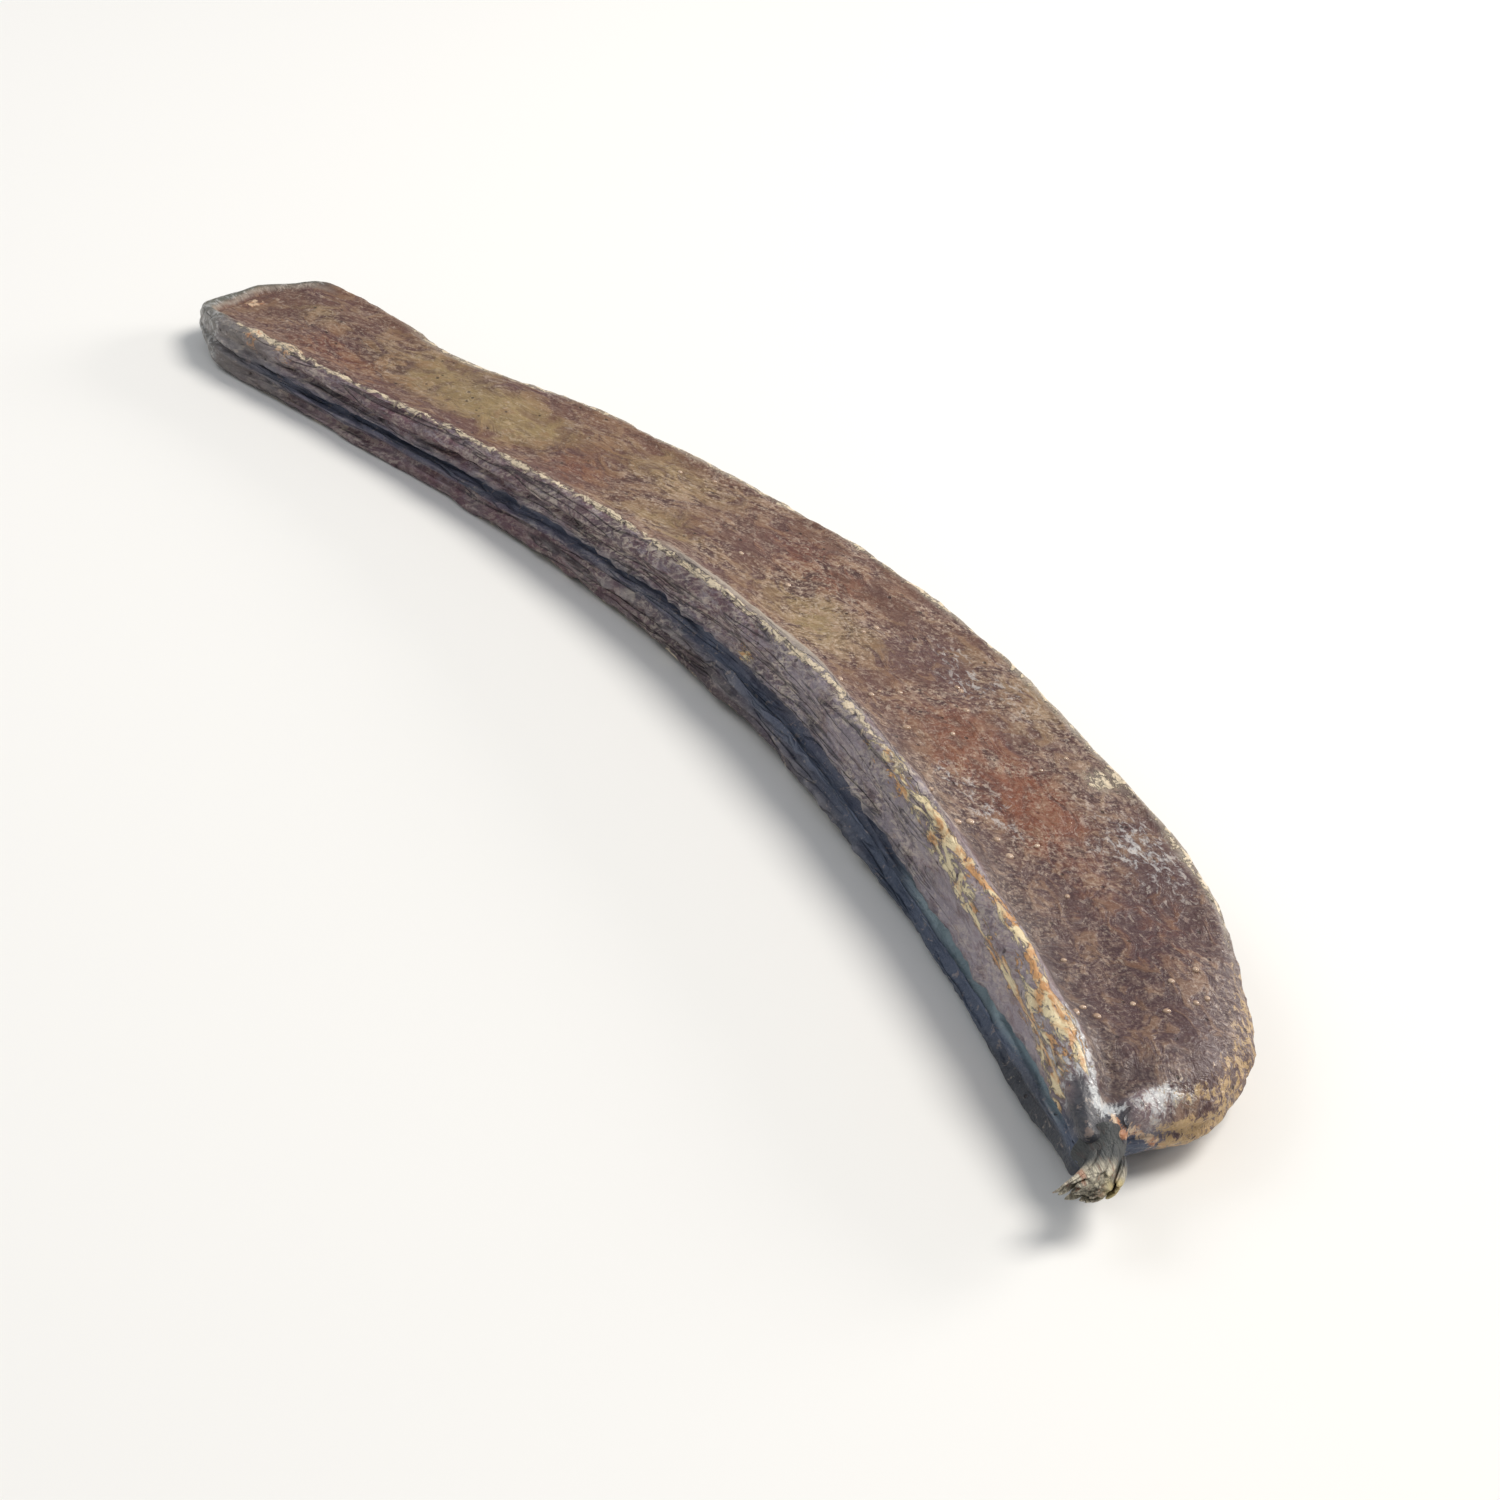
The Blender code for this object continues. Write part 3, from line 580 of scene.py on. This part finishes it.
colour = node("ShaderNodeMix", 2, {0: masks["band"], 6: colour, 7: band}, data_type="RGBA")
tissue = {}
for name, light, dark in (("torn", "#e0c3a4", "#b67d58"), ("gold", "#ead8ae", "#cf9a64")):
    shades = {0: clouds["hue"], 6: linear(light), 7: linear(dark)}
    tissue[name] = node("ShaderNodeMix", 2, shades, data_type="RGBA")
for amount, strength, code in (
    # blue-grey painted shade in the seam, its valley and the wing below the swollen end
    (masks["seam"], 0.88, linear("#566177")),
    # grey ash, partly a painted highlight along the dorsal edge
    (masks["ash"], 0.80, linear("#b3a99c")),
    # painted highlights, silvery white
    (cover["painted_highlight"], 0.68, linear("#dcdfe1")),
    # cream flakes, and along the dorsal edge a cream line that is partly a painted highlight
    (cover["cream"], 0.90, linear("#e6d5b9")),
    (cover["gold"], 0.92, tissue["gold"]),
    (cover["dust"], 0.82, linear("#bfa072")),
    (cover["orange"], 0.88, tissue["torn"]),
    # painted highlight: the pale line just below the seam
    (masks["pale_edge"], 0.90, linear("#98adb3")),
    (pits, 0.70, linear("#2b1e1c")),
):
    weight = node("ShaderNodeMath", 0, {0: amount, 1: strength}, operation="MULTIPLY", use_clamp=True)
    colour = node("ShaderNodeMix", 2, {0: weight, 6: colour, 7: code}, data_type="RGBA")
tree.links.new(colour, shader.inputs["Base Color"])

# A waxy sheen that breaks up over the curls and is strongest on the painted highlights and the gloss marks
rough = node("ShaderNodeMapRange", 0, {"Value": clouds["curl"], "To Min": 0.54, "To Max": 0.36})
rough = node("ShaderNodeMath", 0, {0: masks["painted_highlight"], 1: -0.20, 2: rough}, operation="MULTIPLY_ADD")
rough = node("ShaderNodeMath", 0, {0: masks["gloss"], 1: -0.25, 2: rough}, operation="MULTIPLY_ADD")
tree.links.new(rough, shader.inputs["Roughness"])
shader.inputs["IOR"].default_value = 1.45

# Height in mm of the mottling, the strokes, the grit and the flakes, and depth of the pits and of the
# furrows and strands on the margin
height = 0.0
for amount, rise_mm in (
    (clouds["mottle"], 0.12), (clouds["curl"], 0.05), (clouds["grit"], 0.02),
    (cover["gold"], 0.10), (cover["cream"], 0.10), (pits, -0.12), (furrow_shade, -0.22), (strands, -0.11),
):
    height = node("ShaderNodeMath", 0, {0: amount, 1: rise_mm, 2: height}, operation="MULTIPLY_ADD")
raised = node("ShaderNodeBump", "Normal", {"Height": height, "Strength": 1.0, "Distance": MM})
tree.links.new(raised, shader.inputs["Normal"])

husk.data.materials.append(skin)
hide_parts("pod")
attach(husk, "root")


# SUGAR BEADS. Tiny drops of dried syrup that sweated out of the pulp through the skin's pores and
# set hard. They are amber and glossy, half a millimetre to a millimetre across, most near the stem.

# How many beads there are, from how far along the pod they lie, and two in three of them, and their
# smallest and largest radius; lengths are in mm
BEAD_COUNT = 34
BEADS_FROM = 60
MOST_BEADS_FROM = 112
BEAD_RADIUS = (0.22, 0.40)

bead_random = random.Random(12)
on_top = (on_face > 0.95) & (through > 1.5) & (along > BEADS_FROM) & (along < 172)
face_points = np.flatnonzero(on_top)
bead_names = []
for index in range(BEAD_COUNT):
    past_start = along[face_points] > (MOST_BEADS_FROM if index % 3 else BEADS_FROM)
    point = int(bead_random.choice(list(face_points[past_start])))
    radius = bead_random.uniform(*BEAD_RADIUS) * MM
    bpy.ops.object.select_all(action="DESELECT")
    spot = husk.data.vertices[point].co
    bpy.ops.mesh.primitive_ico_sphere_add(subdivisions=2, radius=radius, location=spot)
    bead = bpy.context.object
    bead.scale = (bead_random.uniform(0.9, 1.4), bead_random.uniform(0.9, 1.2), 0.7)
    bead.rotation_euler = (0.0, 0.0, bead_random.uniform(0.0, math.pi))
    bpy.ops.object.transform_apply(location=True, rotation=True, scale=True)
    bead_names.append(bead.name)
bpy.ops.object.select_all(action="DESELECT")
for name in bead_names:
    bpy.data.objects[name].select_set(True)
beads = bpy.data.objects[bead_names[0]]
bpy.context.view_layer.objects.active = beads
bpy.ops.object.join()
beads.name = "sugar_beads"
bpy.ops.object.shade_smooth()

# Dried carob syrup: clear amber with a hard gloss, mottled with pale cream that is painted glint
syrup = bpy.data.materials.new("dried_carob_syrup")
syrup.use_nodes = True
tree = syrup.node_tree
shader = tree.nodes["Principled BSDF"]
place = node("ShaderNodeTexCoord", "Object", {})
cloud = node("ShaderNodeTexNoise", 0, {"Vector": place, "Scale": 900.0, "Detail": 2.0})
amber_and_glints = node("ShaderNodeMix", 2, {0: cloud, 6: linear("#8a6248"), 7: linear("#e2cbb4")}, data_type="RGBA")
tree.links.new(amber_and_glints, shader.inputs["Base Color"])
shader.inputs["Roughness"].default_value = 0.12
shader.inputs["IOR"].default_value = 1.50
beads.data.materials.append(syrup)
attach(beads, "root")


# STALK. The stub of the fruit stalk: a dry woody neck that grew out of the husk and tore off short.
# Its fibres part into flat wisps that fan out a little at the torn end, with pale broken tips.

# How far the stub reaches from the husk, and how far it curves aside over that reach, in mm
STUB_REACH = 5.0
STUB_ASIDE = 2.9

stalk = finer_copy("stalk_stub", frame["nodes"]["stalk"], 3)

# The neck flares where it runs into the husk, and its foot sinks a little into the husk's skin
neck_spots = straighten(read_places(stalk.data))
foot = rise(neck_spots[:, 0], 185.2, 183.0)
torn_core = rise(neck_spots[:, 0], 185.0, 188.0)
spread = (1 + 0.22 * foot ** 2) * (1 - 0.14 * rise(neck_spots[:, 0], 183.5, 185.5) - 0.10 * torn_core)
over = np.clip(neck_spots[:, 0] - POD_LENGTH, 0.0, 6.0) / STUB_REACH
middle = NECK_ACROSS - STUB_ASIDE * over ** 2
neck_spots[:, 1] = middle + (neck_spots[:, 1] - middle) * spread
neck_spots[:, 2] = neck_spots[:, 2] * spread
neck_spots[:, 0] += 0.3 * torn_core - 0.7 * foot
neck_places = bend(neck_spots)
neck_places[:, 2] = np.maximum(neck_places[:, 2], 0.0)
move_points(stalk.data, neck_places)

# Flat wisps of fibre that run down the stub and end ragged: each starts as a ball of radius 1, which is
# drawn out along the stub, flattened against it and turned a little as it goes
WISP_COUNT = 34
wisp_random = random.Random(5)
wisp_names = []
for index in range(WISP_COUNT):
    bpy.ops.object.select_all(action="DESELECT")
    bpy.ops.mesh.primitive_uv_sphere_add(segments=10, ring_count=14, radius=1.0, location=(0.0, 0.0, 0.0))
    wisp = bpy.context.object
    ball = np.array([point.co for point in wisp.data.vertices])
    girth = np.maximum(np.hypot(ball[:, 0], ball[:, 1]), 0.001) ** -0.5
    sideways, outwards = ball[:, 0] * girth, ball[:, 1] * girth
    angle = math.tau * (index + wisp_random.uniform(-0.3, 0.3)) * 5 / WISP_COUNT
    depth = (1.0, 0.62, 0.94, 0.34, 0.88)[index % 5]
    reach_end = wisp_random.uniform(4.4, 5.6)
    reach = 1.4 + (reach_end - 1.4) * (ball[:, 2] + 1) / 2
    reach = reach + wisp_random.uniform(-0.5, 0.5) * sideways * rise(reach, 3.0, 5.0)
    share = reach / STUB_REACH
    around = angle + wisp_random.uniform(-0.25, 0.25) * share
    around = around + wisp_random.uniform(0.20, 0.36) / depth * sideways
    out = depth + wisp_random.uniform(0.07, 0.12) * outwards
    wide = out * (1.75 + 1.00 * share ** 2)
    thick = out * (2.00 - 0.75 * np.minimum(share, 1.2))
    aside = NECK_ACROSS - STUB_ASIDE * share ** 2 + wide * np.cos(around)
    move_points(wisp.data, bend(np.stack([POD_LENGTH + reach, aside, thick * np.sin(around)], axis=1)))
    wisp_names.append(wisp.name)
bpy.ops.object.select_all(action="DESELECT")
for name in wisp_names:
    bpy.data.objects[name].select_set(True)
stalk.select_set(True)
bpy.context.view_layer.objects.active = stalk
bpy.ops.object.join()
bpy.ops.object.shade_smooth()

stub_spots = straighten(read_places(stalk.data))
paint_straight(stalk.data, stub_spots)
paint(stalk.data, "torn", rise(stub_spots[:, 0], 184.5, 188.0))
paint(stalk.data, "tips", rise(stub_spots[:, 0], 187.2, 188.2) * rise(stub_spots[:, 1], -14.2, -12.8))
# Painted shade: dark blue-grey at the stub's foot
paint(stalk.data, "collar_shade", rise(stub_spots[:, 0], 187.2, 185.6))

# Dry woody stalk, torn lengthwise: dull grey-olive wood that shows its fibres as streaks, with dark
# blue-grey painted shade at its foot and cream, orange and yellow wisps at the tear
wood = bpy.data.materials.new("torn_carob_stalk")
wood.use_nodes = True
tree = wood.node_tree
shader = tree.nodes["Principled BSDF"]
where = node("ShaderNodeAttribute", "Vector", {}, attribute_name="straight")
torn = node("ShaderNodeAttribute", "Fac", {}, attribute_name="torn")
collar_shade = node("ShaderNodeAttribute", "Fac", {}, attribute_name="collar_shade")
tips = node("ShaderNodeAttribute", "Fac", {}, attribute_name="tips")
clouds = {}
for name, size, low, high in (
    ("strand", (5.0, 0.45, 0.4), 0.36, 0.64),
    ("thread", (3.5, 0.30, 0.30), 0.46, 0.60),
    ("stain", (4.0, 0.9, 0.9), 0.54, 0.64),
    ("crumb", (0.6, 0.4, 0.4), 0.35, 0.68),
):
    sized = node("ShaderNodeVectorMath", 0, {0: where, 1: size}, operation="DIVIDE")
    cloud = node("ShaderNodeTexNoise", 0, {"Vector": sized, "Scale": 1.0, "Detail": 5.0, "Roughness": 0.65})
    clouds[name] = node("ShaderNodeMapRange", 0, {"Value": cloud, "From Min": low, "From Max": high})
pale = node("ShaderNodeMath", 0, {0: clouds["thread"], 1: torn}, operation="MULTIPLY")
colour = linear("#a39b8c")
for amount, strength, code in (
    (clouds["strand"], 0.62, "#5a5751"),
    (clouds["crumb"], 0.35, "#a39b8c"),
    (pale, 0.90, "#ddd4bd"),
    (clouds["stain"], 0.60, "#bd8468"),
    (tips, 0.70, "#d3c07f"),
    # painted shade at the foot
    (collar_shade, 0.86, "#343c42"),
):
    weight = node("ShaderNodeMath", 0, {0: amount, 1: strength}, operation="MULTIPLY")
    colour = node("ShaderNodeMix", 2, {0: weight, 6: colour, 7: linear(code)}, data_type="RGBA")
tree.links.new(colour, shader.inputs["Base Color"])
shader.inputs["Roughness"].default_value = 0.62
shader.inputs["IOR"].default_value = 1.45
height = node("ShaderNodeMath", 0, {0: clouds["strand"], 1: -0.15}, operation="MULTIPLY")
raised = node("ShaderNodeBump", "Normal", {"Height": height, "Strength": 1.0, "Distance": MM})
tree.links.new(raised, shader.inputs["Normal"])
stalk.data.materials.append(wood)
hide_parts("stalk")
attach(stalk, "root")


# FLOOR. A plain pale sheet of matt, even paper that the pod lies on. It is no part of the pod, and it
# is wide enough to fill the view.

FLOOR_SIZE = 6.0

bpy.ops.object.select_all(action="DESELECT")
bpy.ops.mesh.primitive_plane_add(size=FLOOR_SIZE, location=(0.0, 0.0, 0.0))
floor = bpy.context.object
floor.name = "floor"
paper = bpy.data.materials.new("matt_white_paper")
paper.use_nodes = True
paper.node_tree.nodes["Principled BSDF"].inputs["Base Color"].default_value = linear("#f2f1ef")
paper.node_tree.nodes["Principled BSDF"].inputs["Roughness"].default_value = 0.9
floor.data.materials.append(paper)


# LIGHT. One wide soft lamp overhead and a little behind, a weaker low one behind that glances off
# the rolled ends, a soft one at the front left that models the margin, and an even pale surround.

world = bpy.data.worlds.new("pale_surround")
bpy.context.scene.world = world
world.use_nodes = True
world.node_tree.nodes["Background"].inputs["Color"].default_value = linear("#eef2f6")
world.node_tree.nodes["Background"].inputs["Strength"].default_value = 0.38

for name, place, size, power, colour in (
    ("overhead", (0.16, 0.34, 0.71), 0.40, 4.7, "#fffaf2"),
    ("behind", (0.05, 0.68, 0.22), 0.25, 2.0, "#fffaf4"),
    ("front_left", (-0.42, -0.36, 0.54), 0.4, 1.1, "#f4f7fb"),
):
    lamp = bpy.data.lights.new(name, "AREA")
    lamp.shape = "DISK"
    lamp.size = size
    lamp.energy = power
    lamp.color = linear(colour)[:3]
    lamp_object = bpy.data.objects.new(name, lamp)
    bpy.context.scene.collection.objects.link(lamp_object)
    lamp_object.location = place
    lamp_object.rotation_euler = (-Vector(place)).to_track_quat("-Z", "Y").to_euler()


# CAMERA. Where the photograph was taken from: in front of the stem end and above it, looking down
# along the pod through a moderately long lens.

# The photograph's width and its lens's focal length, both in its pixels, then where the camera
# stands in mm and how it is turned in radians
SENSOR_WIDTH = 36.0
PHOTO_WIDTH_PX = 1500.0
FOCAL_LENGTH_PX = 2947.0
CAMERA_PLACE = (209.59, -171.53, 162.29)
yaw, pitch, roll = 0.85643, 0.56369, 0.18030

camera_data = bpy.data.cameras.new("camera")
camera = bpy.data.objects.new("camera", camera_data)
bpy.context.scene.collection.objects.link(camera)
camera_data.sensor_width = SENSOR_WIDTH
camera_data.lens = SENSOR_WIDTH * FOCAL_LENGTH_PX / PHOTO_WIDTH_PX
camera_data.clip_start = 0.01
forward = Vector((-math.sin(yaw) * math.cos(pitch), math.cos(yaw) * math.cos(pitch), -math.sin(pitch)))
level = Vector((math.cos(yaw), math.sin(yaw), 0.0))
upright = level.cross(forward)
right = level * math.cos(roll) + upright * math.sin(roll)
up = upright * math.cos(roll) - level * math.sin(roll)
turn = Matrix((right, up, -forward)).transposed().to_4x4()
camera.matrix_world = Matrix.Translation(Vector(CAMERA_PLACE) * MM) @ turn
bpy.context.scene.camera = camera
bpy.context.scene.view_settings.view_transform = "Standard"
